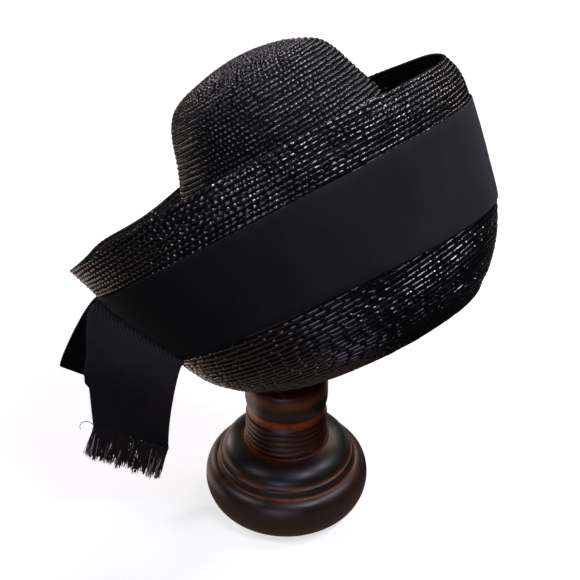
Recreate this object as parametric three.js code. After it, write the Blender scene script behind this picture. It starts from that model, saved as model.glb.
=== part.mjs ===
// A woman's hat of sewn black straw braid, its deep brim turned up all round,
// with a wide ribbon and a frayed bow end at the back, on a turned wooden stand.
// Millimetres, +Z up. The origin is the middle of the stand's foot, on the surface it stands on.
import * as THREE from 'three';

// Thicknesses and clearances
const STRAW = 2.4;
const RIBBON = 1.0;
const GAP = 0.3;

// Facets round the hat, and steps down its walls
const AROUND = 52;
const BRIM_STEPS = 14;
const CROWN_STEPS = 13;
const BAND_STEPS = 5;

// How the hat sits: the middle of its rim, then its front end up, its top leaning away, its turn
const RIM_MIDDLE = new THREE.Vector3(-13, 37, 308.5);
const FRONT_UP = 30;
const LEAN_AWAY = 22.2;
const TURN = -10.2;

// Level of the head line, where the brim meets the crown, measured from the rim
const HEAD_LINE = -159;
// Brim outline, a row for each level from the rim down to the head line:
// back, front and side are the oval's reach there
const BRIM_ROWS = [
  { level: 0, back: 177, front: 151, side: 151 },
  { level: -18, back: 171.6, front: 155.5, side: 149.5 },
  { level: -49, back: 163.5, front: 150, side: 142 },
  { level: -80, back: 152.5, front: 142.5, side: 133 },
  { level: -107, back: 141, front: 135, side: 126 },
  { level: -128, back: 131, front: 124, side: 117 },
  { level: -145.5, back: 115, front: 109.5, side: 102.5 },
  { level: -155, back: 101, front: 97.5, side: 89.5 },
  { level: HEAD_LINE, back: 93.8, front: 93.8, side: 83.8 },
];
// The hat is a little deeper in front than behind
const FRONT_DROP = 5.4;
// The rim stands higher at the two sides than at the ends, and evens out below
const SIDE_RISE = 12.4;
const RISE_DEPTH = 100;
// Slow waves in the rim, as the straw has warped
const RIM_WAVES = [
  { angle: 22, spread: 16, rise: 2 },
  { angle: 140, spread: 13, rise: -3 },
  { angle: 165, spread: 10, rise: 2.5 },
];
// A dent in the near side of the brim, just under the rim
const DENT = { angle: 299, spread: 8, level: -12, height: 12, depth: 5 };

// Crown outline, from its top down to the head line
const CROWN_ROWS = [
  { level: 76.5, back: -10, front: 14, side: 2 },
  { level: 74.5, back: 11.5, front: 34, side: 22.5 },
  { level: 68, back: 39.5, front: 57.5, side: 43.5 },
  { level: 54.5, back: 54, front: 79, side: 60.5 },
  { level: 26, back: 65.5, front: 90.5, side: 72 },
  { level: -11, back: 80, front: 101, side: 80 },
  { level: -57, back: 83.5, front: 103, side: 83 },
  { level: -107, back: 86.5, front: 98, side: 82.6 },
  { level: HEAD_LINE, back: 91.5, front: 91.5, side: 81.5 },
];

// Ribbon band round the brim: the levels of its edges, how much lower each runs in front,
// and how much the low edge rises at the two sides
const BAND_EDGES = { top: -31, low: -102.5, topSlant: 3, lowSlant: 3, lowSideRise: 8.7 };

// Bow at the back: angles round the brim where each ribbon leaves the band, at its top and low edge
const TAIL_ROOT = { top: 207, low: 221 };
const LOOP_FRONT_ROOT = { top: 191, low: 179 };
const LOOP_BACK_ROOT = { top: 183, low: 171 };
// How far each leaves straight out, and how far it then falls straight, at its two edges
const TAIL_FLOW = { topOut: 13, lowOut: 5, topFall: 50, lowFall: 28 };
const LOOP_FLOW = { topOut: 18, lowOut: 12, topFall: 5, lowFall: 14 };
// Ends of the tail and of the loop's fold: the left selvedge, and the way across the ribbon
const TAIL_END = { left: new THREE.Vector3(-151, -55, 120), across: new THREE.Vector3(54, 24, -46) };
const LOOP_END = { left: new THREE.Vector3(-179, -21, 153), across: new THREE.Vector3(55, 24, -47) };
// The loop's two layers lie this far apart, one behind the other, and turn in its last stretch
const LOOP_APART = 6;
const LOOP_BEHIND = new THREE.Vector3(0.3, 0.9, 0.3).normalize();
const LOOP_TURN = 0.12;
const SHEET_ACROSS = 8;
const TAIL_STEPS = 12;
const LOOP_STEPS = 18;

// Frayed end of the tail: locks of unlike length hanging from a narrow head
const FRINGE_HEAD = 2.5;
const FRINGE_LENGTH = 29;
const FRINGE_LOCKS = 15;
const FRINGE_THICK = 1.4;
const FRINGE_HANG = new THREE.Vector3(-0.3, 0, -1).normalize();
// One lock across its pitch: where its tip starts and ends, where its slit starts, and its tip's slant
const LOCK = { tipStart: 0.22, tipEnd: 0.66, slit: 0.94, slant: 1 };
// How the locks differ: in length and in sway, as waves from lock to lock, in radians
const LOCK_WAVES = { uneven: 2.5, unevenStep: 2.3, sway: 0.6, swayStep: 1.7 };

// Stand: half sections of the turned foot and column, from the bottom edge up. A row ends at
// its reach and height, and where it is round it bows towards the pull point
const FOOT_ROWS = [
  { reach: 51, height: 0 },
  { reach: 69.3, height: 23, pullReach: 67.5, pullHeight: 3.5 },
  { reach: 58.6, height: 42.6, pullReach: 69.5, pullHeight: 40.5 },
  { reach: 57.4, height: 44 },
  { reach: 57.4, height: 47.8 },
  { reach: 55, height: 50.8, pullReach: 57.2, pullHeight: 50.4 },
  { reach: 54, height: 52.3 },
  { reach: 35.6, height: 65.4, pullReach: 52.1, pullHeight: 61.3 },
  { reach: 35, height: 66.4 },
];
const FOOT_TOP = FOOT_ROWS.at(-1).height;
// Small rings turned on the column, one on another, then its hollow and its bead
const RING_GROOVE = 33;
const RINGS = [
  { height: 72, reach: 34.9 },
  { height: 77, reach: 34.4 },
  { height: 82.5, reach: 34.2 },
  { height: 88, reach: 34 },
  { height: 93.5, reach: 34 },
];
const COLUMN_TOP = 128;
const BEAD_ROWS = [
  { reach: 33.4, height: 103, pullReach: 31, pullHeight: 98.5 },
  { reach: 34.4, height: 117, pullReach: 34.8, pullHeight: 106 },
  { reach: 32, height: COLUMN_TOP, pullReach: 34.4, pullHeight: 127 },
];
// The plain post that carries the crown
const POST_RADIUS = 6;
const POST_TOP = 380.4;
const FOOT_FACETS = 36;
const COLUMN_FACETS = 32;
const POST_FACETS = 16;
const CURVE_STEPS = 3;

const turn = THREE.MathUtils.degToRad;
const mix = THREE.MathUtils.lerp;

const straw = { color: 0x16151a, roughness: 0.35, metalness: 0 };
const grosgrain = { color: 0x1d1c22, roughness: 0.85, metalness: 0 };
const stained = { color: 0x2a1a14, roughness: 0.4, metalness: 0 };

function part(name, geometry, look) {
  const mesh = new THREE.Mesh(geometry, new THREE.MeshStandardMaterial(look));
  mesh.name = name;
  return mesh;
}

// A smooth curve through four values, from the second to the third
function through(a, b, c, d, t) {
  const slope = (c - a) / 2;
  const next = (d - b) / 2;
  const bend = 3 * (c - b) - 2 * slope - next;
  const twist = 2 * (b - c) + slope + next;
  return b + t * (slope + t * (bend + t * twist));
}

// The outline between table rows: s counts the rows from the top
function rowAt(rows, s) {
  const i = Math.min(Math.floor(s), rows.length - 2);
  const pick = (k) => rows[THREE.MathUtils.clamp(k, 0, rows.length - 1)];
  const row = {};
  for (const column of Object.keys(rows[0])) {
    const values = [i - 1, i, i + 1, i + 2].map((k) => pick(k)[column]);
    row[column] = through(...values, s - i);
  }
  return row;
}

function ovalPoint(row, angle) {
  const middle = (row.front - row.back) / 2;
  const half = (row.front + row.back) / 2;
  const drop = FRONT_DROP * THREE.MathUtils.clamp(row.level / HEAD_LINE, 0, 1) * Math.cos(angle);
  return new THREE.Vector3(middle + half * Math.cos(angle), row.side * Math.sin(angle), row.level - drop);
}

// How much the rim stands above its level plane at an angle from the front
function rimRise(angle) {
  let rise = SIDE_RISE * Math.sin(angle) ** 2;
  for (const wave of RIM_WAVES) {
    const away = (THREE.MathUtils.euclideanModulo(angle, 2 * Math.PI) - turn(wave.angle)) / turn(wave.spread);
    rise += wave.rise * Math.exp(-(away ** 2));
  }
  return rise;
}

// Outer face of the brim at row s and an angle from the front, in the hat's own frame
function brimFace(s, angle) {
  const row = rowAt(BRIM_ROWS, s);
  const point = ovalPoint(row, angle);
  const away = (((angle - turn(DENT.angle)) / turn(DENT.spread)) ** 2)
    + (((row.level - DENT.level) / DENT.height) ** 2);
  const dent = DENT.depth * Math.exp(-away) / Math.hypot(point.x, point.y);
  point.x *= 1 - dent;
  point.y *= 1 - dent;
  point.z += rimRise(angle) * Math.max(0, 1 + row.level / RISE_DEPTH);
  return point;
}

function crownFace(s, angle) {
  return ovalPoint(rowAt(CROWN_ROWS, s), angle);
}

// The row of the brim that lies at a level, found by halving
function brimRowAtLevel(level) {
  let low = 0;
  let high = BRIM_ROWS.length - 1;
  while (high - low > 1e-4) {
    const middle = (low + high) / 2;
    if (rowAt(BRIM_ROWS, middle).level > level) {
      low = middle;
    } else {
      high = middle;
    }
  }
  return low;
}

// Way out of a face whose rows run downwards
function outward(face, s, angle) {
  const step = 1e-3;
  const down = face(s + step, angle).sub(face(s - step, angle));
  const round = face(s, angle + step).sub(face(s, angle - step));
  return down.cross(round).normalize();
}

// Where the band lies: v runs from its top edge to its low edge, lift stands off the brim
function bandFace(v, angle, lift = 0) {
  const slant = Math.cos(angle);
  const top = BAND_EDGES.top - BAND_EDGES.topSlant * slant;
  const low = BAND_EDGES.low - BAND_EDGES.lowSlant * slant + BAND_EDGES.lowSideRise * (1 - slant ** 2);
  const s = brimRowAtLevel(mix(top, low, v));
  return brimFace(s, angle).addScaledVector(outward(brimFace, s, angle), lift);
}

function meshFrom(points, index) {
  const geometry = new THREE.BufferGeometry();
  geometry.setAttribute('position', new THREE.Float32BufferAttribute(points.flatMap((p) => p.toArray()), 3));
  geometry.setIndex(index);
  geometry.computeVertexNormals();
  return geometry;
}

// A closed wall between two faces that go all round, each given as face(row, angle);
// a capped wall is closed over at its first row
function wallBetween(outerFace, innerFace, steps, capped) {
  const points = [];
  const index = [];
  for (const face of [outerFace, innerFace]) {
    for (let row = 0; row <= steps; row += 1) {
      for (let k = 0; k < AROUND; k += 1) {
        points.push(face(row / steps, (k / AROUND) * 2 * Math.PI));
      }
    }
  }
  const id = (layer, row, k) => (layer * (steps + 1) + row) * AROUND + (k % AROUND);
  const quad = (a, b, c, d) => index.push(a, b, c, a, c, d);
  for (let k = 0; k < AROUND; k += 1) {
    for (let row = 0; row < steps; row += 1) {
      quad(id(0, row, k), id(0, row + 1, k), id(0, row + 1, k + 1), id(0, row, k + 1));
      quad(id(1, row, k), id(1, row, k + 1), id(1, row + 1, k + 1), id(1, row + 1, k));
    }
    quad(id(0, steps, k + 1), id(0, steps, k), id(1, steps, k), id(1, steps, k + 1));
    if (!capped) {
      quad(id(0, 0, k), id(0, 0, k + 1), id(1, 0, k + 1), id(1, 0, k));
    }
  }
  if (capped) {
    for (const layer of [0, 1]) {
      const middle = new THREE.Vector3();
      for (let k = 0; k < AROUND; k += 1) {
        middle.addScaledVector(points[id(layer, 0, k)], 1 / AROUND);
      }
      points.push(middle);
      for (let k = 0; k < AROUND; k += 1) {
        const pair = layer === 0 ? [k, k + 1] : [k + 1, k];
        index.push(id(layer, 0, pair[0]), id(layer, 0, pair[1]), points.length - 1);
      }
    }
  }
  return meshFrom(points, index);
}

// A straw wall: its inner face stands a thickness in from the outer one,
// square to it just inside the table's ends
function strawWall(face, rows, steps, capped) {
  const last = rows.length - 1;
  const inside = 0.01;
  const outer = (v, angle) => face(v * last, angle);
  const inner = (v, angle) => {
    const s = THREE.MathUtils.clamp(v * last, inside, last - inside);
    return outer(v, angle).addScaledVector(outward(face, s, angle), -STRAW);
  };
  return wallBetween(outer, inner, steps, capped);
}

// A ribbon of even thickness about its middle face, which is middle(u across, v along)
function ribbonSheet(middle, across, along) {
  const points = [];
  const index = [];
  const step = 1e-3;
  for (const side of [RIBBON / 2, -RIBBON / 2]) {
    for (let j = 0; j <= along; j += 1) {
      for (let i = 0; i <= across; i += 1) {
        const u = i / across;
        const v = j / along;
        const du = middle(Math.min(1, u + step), v).sub(middle(Math.max(0, u - step), v));
        const dv = middle(u, Math.min(1, v + step)).sub(middle(u, Math.max(0, v - step)));
        points.push(middle(u, v).addScaledVector(du.cross(dv).normalize(), side));
      }
    }
  }
  const id = (layer, i, j) => (layer * (along + 1) + j) * (across + 1) + i;
  const quad = (a, b, c, d) => index.push(a, b, c, a, c, d);
  for (let j = 0; j < along; j += 1) {
    for (let i = 0; i < across; i += 1) {
      quad(id(0, i, j), id(0, i + 1, j), id(0, i + 1, j + 1), id(0, i, j + 1));
      quad(id(1, i, j), id(1, i, j + 1), id(1, i + 1, j + 1), id(1, i + 1, j));
    }
    quad(id(0, 0, j), id(0, 0, j + 1), id(1, 0, j + 1), id(1, 0, j));
    quad(id(0, across, j + 1), id(0, across, j), id(1, across, j), id(1, across, j + 1));
  }
  for (let i = 0; i < across; i += 1) {
    quad(id(0, i + 1, 0), id(0, i, 0), id(1, i, 0), id(1, i + 1, 0));
    quad(id(0, i, along), id(0, i + 1, along), id(1, i + 1, along), id(1, i, along));
  }
  return meshFrom(points, index);
}

// The hat's own group: X is its front, Z its top
const hat = new THREE.Group();
hat.position.copy(RIM_MIDDLE);
hat.rotation.set(-turn(LEAN_AWAY), -turn(FRONT_UP), turn(TURN), 'XYZ');
hat.updateMatrixWorld();

hat.add(part('crown', strawWall(crownFace, CROWN_ROWS, CROWN_STEPS, true), straw));
hat.add(part('brim', strawWall(brimFace, BRIM_ROWS, BRIM_STEPS, false), straw));
hat.add(part('band', wallBetween(
  (v, angle) => bandFace(v, angle, GAP + RIBBON),
  (v, angle) => bandFace(v, angle, GAP),
  BAND_STEPS,
  false,
), grosgrain));

// Where a ribbon leaves the band, and the way out there, in the part's frame
function ribbonRoot(angles, u) {
  const angle = turn(mix(angles.top, angles.low, u));
  const lift = GAP + RIBBON + GAP;
  const root = bandFace(u, angle, lift).applyMatrix4(hat.matrixWorld);
  const out = bandFace(u, angle, lift + 1).applyMatrix4(hat.matrixWorld).sub(root);
  return { root, out };
}

// A ribbon that leaves the band outwards and falls to an end point
function fallingRibbon(angles, flow, u, end) {
  const { root, out } = ribbonRoot(angles, u);
  const leaving = root.clone().addScaledVector(out, mix(flow.topOut, flow.lowOut, u));
  const above = end.clone().setZ(end.z + mix(flow.topFall, flow.lowFall, u));
  return new THREE.CubicBezierCurve3(root, leaving, above, end);
}

function ribbonEnd(end, u) {
  return end.left.clone().addScaledVector(end.across, u);
}

function tailMiddle(u, v) {
  return fallingRibbon(TAIL_ROOT, TAIL_FLOW, u, ribbonEnd(TAIL_END, u)).getPoint(v);
}

// The loop goes down in front, turns round its fold, and comes back up behind
function loopMiddle(u, v) {
  const end = ribbonEnd(LOOP_END, u);
  const straight = (1 - LOOP_TURN) / 2;
  if (v <= straight) {
    return fallingRibbon(LOOP_FRONT_ROOT, LOOP_FLOW, u, end).getPoint(v / straight);
  }
  if (v >= 1 - straight) {
    end.addScaledVector(LOOP_BEHIND, LOOP_APART);
    return fallingRibbon(LOOP_BACK_ROOT, LOOP_FLOW, u, end).getPoint((1 - v) / straight);
  }
  const bend = Math.PI * ((v - straight) / LOOP_TURN);
  end.addScaledVector(LOOP_BEHIND, (LOOP_APART / 2) * (1 - Math.cos(bend)));
  end.z -= (LOOP_APART / 2) * Math.sin(bend);
  return end;
}

const bow = new THREE.Group();
bow.add(part('bow_tail', ribbonSheet(tailMiddle, SHEET_ACROSS, TAIL_STEPS), grosgrain));
bow.add(part('bow_loop', ribbonSheet(loopMiddle, SHEET_ACROSS, LOOP_STEPS), grosgrain));

// The fringe is cut as a comb and hung under the tail's end
function fringeComb(width) {
  const comb = new THREE.Shape();
  const pitch = width / FRINGE_LOCKS;
  comb.moveTo(0, 0);
  comb.lineTo(0, FRINGE_HEAD);
  for (let lock = 0; lock < FRINGE_LOCKS; lock += 1) {
    const length = FRINGE_LENGTH + LOCK_WAVES.uneven * Math.sin(LOCK_WAVES.unevenStep * lock);
    const sway = LOCK_WAVES.sway * Math.sin(LOCK_WAVES.swayStep * lock);
    comb.lineTo((lock + LOCK.tipStart) * pitch + sway, length);
    comb.lineTo((lock + LOCK.tipEnd) * pitch + sway, length - LOCK.slant);
    comb.lineTo((lock + LOCK.slit) * pitch, FRINGE_HEAD);
  }
  comb.lineTo(width, FRINGE_HEAD);
  comb.lineTo(width, 0);
  return new THREE.ExtrudeGeometry(comb, { depth: FRINGE_THICK, bevelEnabled: false });
}

function frayedEnd() {
  const along = TAIL_END.across.clone().normalize();
  const thick = along.clone().cross(FRINGE_HANG).normalize();
  const geometry = fringeComb(TAIL_END.across.length());
  geometry.translate(0, GAP, -FRINGE_THICK / 2);
  const hung = new THREE.Matrix4().makeBasis(along, FRINGE_HANG, thick).setPosition(TAIL_END.left);
  return geometry.applyMatrix4(hung);
}
bow.add(part('tail_fringe', frayedEnd(), grosgrain));

// A turned piece from the rows of its half section, standing on a height
function turned(bottom, rows, facets) {
  const outline = new THREE.Path();
  outline.moveTo(0, bottom);
  for (const row of rows) {
    if (row.pullReach === undefined) {
      outline.lineTo(row.reach, row.height);
    } else {
      outline.quadraticCurveTo(row.pullReach, row.pullHeight, row.reach, row.height);
    }
  }
  if (rows.at(-1).reach > 0) {
    outline.lineTo(0, rows.at(-1).height);
  }
  return new THREE.LatheGeometry(outline.getPoints(CURVE_STEPS), facets).rotateX(Math.PI / 2);
}

// Column rows from the foot up: the rings, then the hollow and the bead
function columnRows(bottom) {
  const rows = [{ reach: RING_GROOVE, height: bottom }];
  for (const ring of RINGS) {
    rows.push({
      reach: RING_GROOVE,
      height: ring.height,
      pullReach: 2 * ring.reach - RING_GROOVE,
      pullHeight: (rows.at(-1).height + ring.height) / 2,
    });
  }
  return rows.concat(BEAD_ROWS);
}

function postRows(bottom) {
  const shoulder = POST_TOP - POST_RADIUS;
  return [
    { reach: POST_RADIUS, height: bottom },
    { reach: POST_RADIUS, height: shoulder },
    { reach: 0, height: POST_TOP, pullReach: POST_RADIUS, pullHeight: POST_TOP },
  ];
}

const columnBottom = FOOT_TOP + GAP;
const postBottom = COLUMN_TOP + GAP;
const stand = new THREE.Group();
stand.add(part('stand_foot', turned(0, FOOT_ROWS, FOOT_FACETS), stained));
stand.add(part('stand_column', turned(columnBottom, columnRows(columnBottom), COLUMN_FACETS), stained));
stand.add(part('stand_post', turned(postBottom, postRows(postBottom), POST_FACETS), stained));

const group = new THREE.Group();
group.add(hat, bow, stand);
export default group;
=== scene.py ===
"""A woman's hat of black sewn straw braid, its brim turned up all round, with a wide ribbon
and a frayed bow end, on a turned wooden stand. Shapes are in millimetres in the part's frame."""

import math

import bpy
import numpy as np
from mathutils import Matrix, Vector


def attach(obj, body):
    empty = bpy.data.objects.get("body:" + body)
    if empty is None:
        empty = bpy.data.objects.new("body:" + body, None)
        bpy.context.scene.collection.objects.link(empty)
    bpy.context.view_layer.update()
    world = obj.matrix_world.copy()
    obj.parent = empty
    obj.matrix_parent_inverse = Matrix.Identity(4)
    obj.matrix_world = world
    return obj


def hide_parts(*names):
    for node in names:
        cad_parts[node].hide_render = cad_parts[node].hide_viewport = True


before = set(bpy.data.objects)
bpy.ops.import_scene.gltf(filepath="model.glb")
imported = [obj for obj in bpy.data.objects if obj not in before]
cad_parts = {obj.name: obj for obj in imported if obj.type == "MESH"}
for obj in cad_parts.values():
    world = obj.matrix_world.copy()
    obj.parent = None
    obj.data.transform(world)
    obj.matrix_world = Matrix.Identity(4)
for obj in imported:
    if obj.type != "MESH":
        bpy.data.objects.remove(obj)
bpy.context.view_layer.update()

bl_info = {
    "name": "Straw Hat on a Stand",
    "version": (1, 0, 0),
    "blender": (4, 5, 0),
    "location": "View3D > Sidebar > Straw Hat",
    "description": "Builds a sewn straw hat with a ribbon bow, on a turned wooden stand",
    "category": "Add Mesh",
}

MM = 0.001
FULL_TURN = 2 * math.pi

# Points nearer than this are one
SEAM = 0.002
# A piece has fewer triangles than this
MOST_TRIANGLES = 200_000

# Walls and clearances
STRAW = 2.4
RIBBON = 1.0
GAP = 0.3

# How the hat sits: the middle of its rim, then its front end up, its top leaning away, its turn
RIM_MIDDLE = np.array((-13.0, 37.0, 308.5))
FRONT_UP = math.radians(30)
LEAN_AWAY = math.radians(22.2)
TURN = math.radians(-10.2)
HAT_TURN = np.array(
    Matrix.Rotation(-LEAN_AWAY, 3, "X") @ Matrix.Rotation(-FRONT_UP, 3, "Y") @ Matrix.Rotation(TURN, 3, "Z")
)

# Brim and crown outlines, a row for each level: the level, and the oval's reach back, front and sideways
HEAD_LINE = -159.0
BRIM_ROWS = np.array((
    (0, 177, 151, 151),
    (-18, 171.6, 155.5, 149.5),
    (-49, 163.5, 150, 142),
    (-80, 152.5, 142.5, 133),
    (-107, 141, 135, 126),
    (-128, 131, 124, 117),
    (-145.5, 115, 109.5, 102.5),
    (-155, 101, 97.5, 89.5),
    (HEAD_LINE, 93.8, 93.8, 83.8),
))
CROWN_ROWS = np.array((
    (76.5, -10, 14, 2),
    (74.5, 11.5, 34, 22.5),
    (68, 39.5, 57.5, 43.5),
    (54.5, 54, 79, 60.5),
    (26, 65.5, 90.5, 72),
    (-11, 80, 101, 80),
    (-57, 83.5, 103, 83),
    (-107, 86.5, 98, 82.6),
    (HEAD_LINE, 91.5, 91.5, 81.5),
))
FRONT_DROP = 5.4
SIDE_RISE = 12.4
RISE_DEPTH = 100.0
# Slow waves in the rim: angle and spread in degrees, and rise
RIM_WAVES = ((22, 16, 2.0), (140, 13, -3.0), (165, 10, 2.5))
# The dent in the near side: angle and spread in degrees, level, height and depth
DENT = (299, 8, -12.0, 12.0, 5.0)
# Points down and round a wall where its length is measured and where it is laid, and steps in a full ring
PROFILE_POINTS = 1200
PROFILE_SIDES = 24
WALL_POINTS = 40
WALL_SIDES = 128
RING_STEPS = 720

# Plaits: height as a share of the row, bluntness, how far they lap along and across, their slant along
# the row, and how uneven they lie in roll, dip and slew, in degrees
PLAIT_HEIGHT = 0.63
PLAIT_BLUNT = 4
PLAIT_LAP = 1.35
ROW_LAP = 1.0
PLAIT_SLANT = 5.0
PLAIT_UNEVEN = (6.0, 3.5, 3.0)
# How far a plait shifts along its row as a share of its length, its least and full size, the fewest in a row
PLAIT_SHIFT = 0.06
PLAIT_SIZES = (0.9, 1.0)
FEWEST_PLAITS = 4
# How far a row wanders up and down the wall, and between which numbers of waves in a turn
ROW_DRIFT = 0.3
ROW_WAVES = (7, 15)
# Share of the crown's wall, from its top, that has the rounder plaits
ROUNDER_SHARE = 0.55
# Sides and rings of one plait: on the crown's top and its low wall, outside the brim and inside it
CROWN_GRAIN = (6, 3)
LOW_CROWN_GRAIN = (4, 3)
BRIM_GRAIN = (6, 5)
INNER_GRAIN = (5, 3)
# Seeds of the uneven plaits and threads
CROWN_SEED = 11
BRIM_SEED = 23
FRINGE_SEED = 37
# Levels below the rim between which the ribbon hides the rows
HIDDEN_ROWS = (38.0, 88.0)
# How far the brim's wall lies below its inner face
INNER_SUNK = 0.6
# Rows under the ribbon: longer plaits, blunter and more even, leaning by some degrees
LOW_PLAIT = 2.2
LOW_BLUNT = 12
LOW_UNEVEN = 0.2
LOW_TILT = -8.0

# Band edges on the brim: levels, how much lower each runs in front, how much the low one rises at the sides
BAND_TOP = -31.0
BAND_LOW = -102.5
BAND_SLANT = 3.0
BAND_SIDE_RISE = 8.7
# The band's rounded edges: their share of its width, and how far they lie below its face
BAND_ROUND = 0.005
BAND_EDGE = 0.25
# Points across the band's outer face between those edges, across its inner face, and down the brim's levels
BAND_OUTER = 13
BAND_INNER = 6
LEVEL_POINTS = 2000

# Bow: angles where each ribbon leaves the band at its top and low edge, how far it leaves straight out
# at those edges, how far it then falls straight, and its end as a left corner and the way across
TAIL_ROOT = (207, 221)
TAIL_OUT = (13, 5)
TAIL_FALL = (50, 28)
TAIL_LEFT = np.array((-151.0, -55.0, 120.0))
TAIL_ACROSS = np.array((54.0, 24.0, -46.0))
# Roll of the tail's fold at those edges, and the swell of its left selvedge: its size, its reach as a share
# of the way across, and the shares of the fall where it begins, is full, ends and is gone
TAIL_ROLL = (2.6, 1.8)
TAIL_SWELL = 3.8
TAIL_SWELL_REACH = 0.16
TAIL_SWELL_SPAN = (0.52, 0.68, 0.735, 0.76)
LOOP_FRONT_ROOT = (191, 179)
LOOP_BACK_ROOT = (183, 171)
LOOP_OUT = (18, 12)
LOOP_FALL = (5, 14)
LOOP_ROLL = (2.2, 1.4)
LOOP_LEFT = np.array((-179.0, -21.0, 153.0))
LOOP_ACROSS = np.array((55.0, 24.0, -47.0))
LOOP_APART = 6.0
LOOP_BEHIND = np.array((0.3, 0.9, 0.3)) / math.sqrt(0.99)

# The bow's selvedges: how far they stand out at each rib, and their thickness as a share of the ribbon's
SELVEDGE = 0.8
SELVEDGE_THICK = 0.6
# Points across the bow's ribbons, along their rolls, their falls and the loop's fold, and along one rib
ACROSS_POINTS = 37
ROLL_POINTS = 20
TAIL_POINTS = 240
LOOP_POINTS = 160
FOLD_POINTS = 26
RIB_POINTS = 3
# How faded the ribbon's dye is, with painted shade and painted light in it: painted shade by the bow, beside
# the tail's fold and on the loop, painted light on the band's front and the tail's top. Round the band by
# degrees, and along the loop and the tail by shares of their length
BAND_FADE_AND_SHADING = ((0, 2.2), (60, 1.2), (150, 0.8), (200, 0.2), (222, 0.1), (250, 0.8), (280, 1.3), (320, 1.7))
LOOP_FADE_AND_SHADING = ((0, 0.6), (0.1, 0.4), (1, 0.5))
TAIL_FADE_AND_SHADING = ((0, 1.2), (0.06, 2.5), (0.3, 2.1), (0.6, 1.1), (1, 0.9))

# Frayed end: locks hanging from the tail's end, their length, and how they differ as waves from lock to lock
FRINGE_LENGTH = 29.0
FRINGE_LOCKS = 15
FRINGE_HANG = np.array((-0.3, 0.0, -1.0)) / math.sqrt(1.09)
LOCK_UNEVEN = (2.5, 2.3)
LOCK_SWAY = (0.6, 1.7)
# A lock's tip: its place in the lock, and how far that varies
LOCK_TIP = 0.44
LOCK_TIP_UNEVEN = 0.15
# Threads: points along one, how far beside their lock and how near the selvedge they root, their lengths
# as shares of their lock's, how far they gather to its tip and bend to it, how far they stray, in what waves
THREAD_POINTS = 9
LOCK_OVERLAP = 0.05
THREAD_EDGE = 0.005
THREAD_LENGTHS = (0.88, 1.17)
LOCK_GATHER = 0.3
THREAD_BEND = 1.3
THREAD_STRAY = 0.9
THREAD_WAVES = (2, 7)
# Where threads show bare of dye: place across, spread and share, and the points where their dye ends
BARE_THREADS = ((0.0, 0.06, 0.3), (0.24, 0.02, 0.25), (0.4, 0.02, 0.15), (0.92, 0.1, 0.2), (0.5, 0.5, 0.05))
DYE_ENDS = (1, 6)
# The sprung thread: its ways out and up, how far it turns, its points, its reach out and up, how far it
# roots below the tail's end, and how far apart its strands lie
SPRUNG_WAY_OUT = np.array((-1.0, 0.0, 0.0))
SPRUNG_WAY_UP = np.array((0.0, 0.35, 0.94))
SPRUNG_TURN = 1.15 * math.pi
SPRUNG_POINTS = 16
SPRUNG_OUT = 5.4
SPRUNG_UP = 4.4
SPRUNG_ROOT = 1.6
SPRUNG_APART = 0.2

# Half sections of the turned stand from the bottom up: reach and height, and the point a round row bows to
FOOT_ROWS = (
    (51, 0),
    (69.3, 23, 67.5, 3.5),
    (58.6, 42.6, 69.5, 40.5),
    (57.4, 44),
    (57.4, 47.8),
    (55, 50.8, 57.2, 50.4),
    (54, 52.3),
    (35.6, 65.4, 52.1, 61.3),
    (35, 66.4),
)
RING_GROOVE = 33.0
RINGS = ((34.9, 72), (34.4, 77), (34.2, 82.5), (34, 88), (34, 93.5))
BEAD_ROWS = ((33.4, 103, 31, 98.5), (34.4, 117, 34.8, 106), (32, 128, 34.4, 127))
COLUMN_LOW = FOOT_ROWS[-1][1] + GAP
POST_LOW = BEAD_ROWS[-1][1] + GAP
POST_REACH = 6.0
POST_TOP = 380.4
# Wear of the stand: heights, and how far the stain is rubbed through at each
# The foot's lighter bottom band is part wear and part painted reflection of the floor
FOOT_WEAR_AND_REFLECTION = (
    (0, 0.3), (5, 0.26), (9, 0.14), (22, 0.05), (36, 0.06), (42, 0.07), (42.6, 0.42), (43.4, 0.4),
    (44, 0.05), (47.4, 0.03), (50.5, 0.05), (51, 0.5), (51.9, 0.5), (52.5, 0.04), (60, 0.0),
    (64.4, 0.06), (65.2, 0.4), (66.4, 0.4),
)
COLUMN_WEAR = (
    (66, 0.5), (69.4, 0.5), (71.8, 0.08), (74.5, 0.4), (77, 0.05), (80, 0.3), (82.5, 0.05), (85.3, 0.26),
    (88, 0.05), (90.8, 0.2), (93.2, 0.05), (94, 0.85), (98, 1.2), (101, 1.1), (102.6, 0.5), (103.6, 0.05),
    (112, 0.02), (115, 0.1), (118.5, 0.45), (121.5, 0.7), (124.5, 0.4), (126, 0.12), (128, 0.3),
)
POST_WEAR = ((128, 0.3), (381, 0.3))
# Steps in one round row of each turned piece
FOOT_STEPS = 14
COLUMN_STEPS = 10
POST_STEPS = 6
# Turned edges sharper than this are rounded, and faces that meet at less than this are smooth, in degrees
SHARP_EDGE = 24
SMOOTH_BELOW = 40

# Lacquer of each kind of row: its mirroring, and its roughness on the best and the worst plaits
LACQUER = {
    "lacquered straw braid": (0.95, 0.1, 0.26),
    "worn straw braid": (0.8, 0.12, 0.26),
    "inner straw braid": (0.12, 0.45, 0.6),
}
# The wall behind the plaits
GROUND = "dull straw braid"
# Ribbon, taut and hanging: painted light on its ribs and painted shade in its hollows, how wide the painted
# ribs show, and how far they run along per metre across
GROSGRAIN = {
    "rayon grosgrain": ((1.15, 0.75), 1.0, 0.0),
    "rayon grosgrain on the bias": ((1.4, 0.55), 2.3, 1.0),
}
# Sizes in the patterns: a straw, a plait and a row of the bare wall, the ribbon's slow fading, its threads'
# grain, the way between specks of lint, the warp, the twist of a thread, and the wood's grain and blotches
ONE_STRAW = 0.7
GROUND_PLAIT = 6.0
GROUND_ROW = 2.8
FADING = 40.0
THREAD_GRAIN = 0.8
LINT_APART = 30.0
WARP = 0.5
THREAD_TWIST = 1.5
WOOD_GRAIN = 1.5
WOOD_BLOTCH = 18.0

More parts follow.
